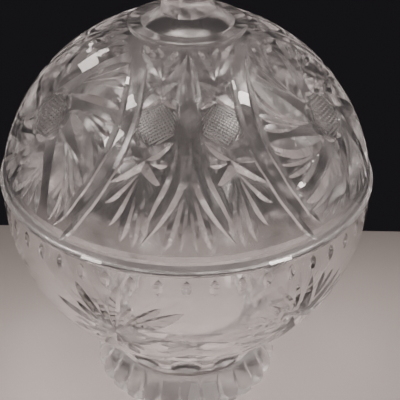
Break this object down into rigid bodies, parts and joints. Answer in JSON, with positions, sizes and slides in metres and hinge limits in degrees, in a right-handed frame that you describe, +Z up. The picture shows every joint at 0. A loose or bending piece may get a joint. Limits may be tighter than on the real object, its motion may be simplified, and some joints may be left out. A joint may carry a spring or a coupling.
{
  "type": "powder jar",
  "caption": "Footed spherical cut-crystal powder jar with a domed lift-off lid and a faceted finial.",
  "frame": {"origin": "centre of the foot's resting ring, on the surface the jar stands on", "axes": "+Z up along the jar's axis; -Y is the front, through the middle of one cut panel"},
  "size_m": [0.1198, 0.1198, 0.168],
  "materials": {
    "bowl_crystal": "clear lead crystal, cut and polished",
    "foot_crystal": "clear lead crystal, cut and polished",
    "lid_crystal": "clear lead crystal, cut and polished",
    "finial_crystal": "clear lead crystal, cut facets, polished"
  },
  "bodies": {
    "jar": {"bowl": "bowl_crystal", "foot": "foot_crystal"},
    "cover": {"lid": "lid_crystal", "finial": "finial_crystal"}
  },
  "joints": [
    {"name": "lid_lift", "type": "slide", "parent": "jar", "child": "cover", "axis": [0, 0, 1], "range_m": [0, 0.08]}
  ]
}
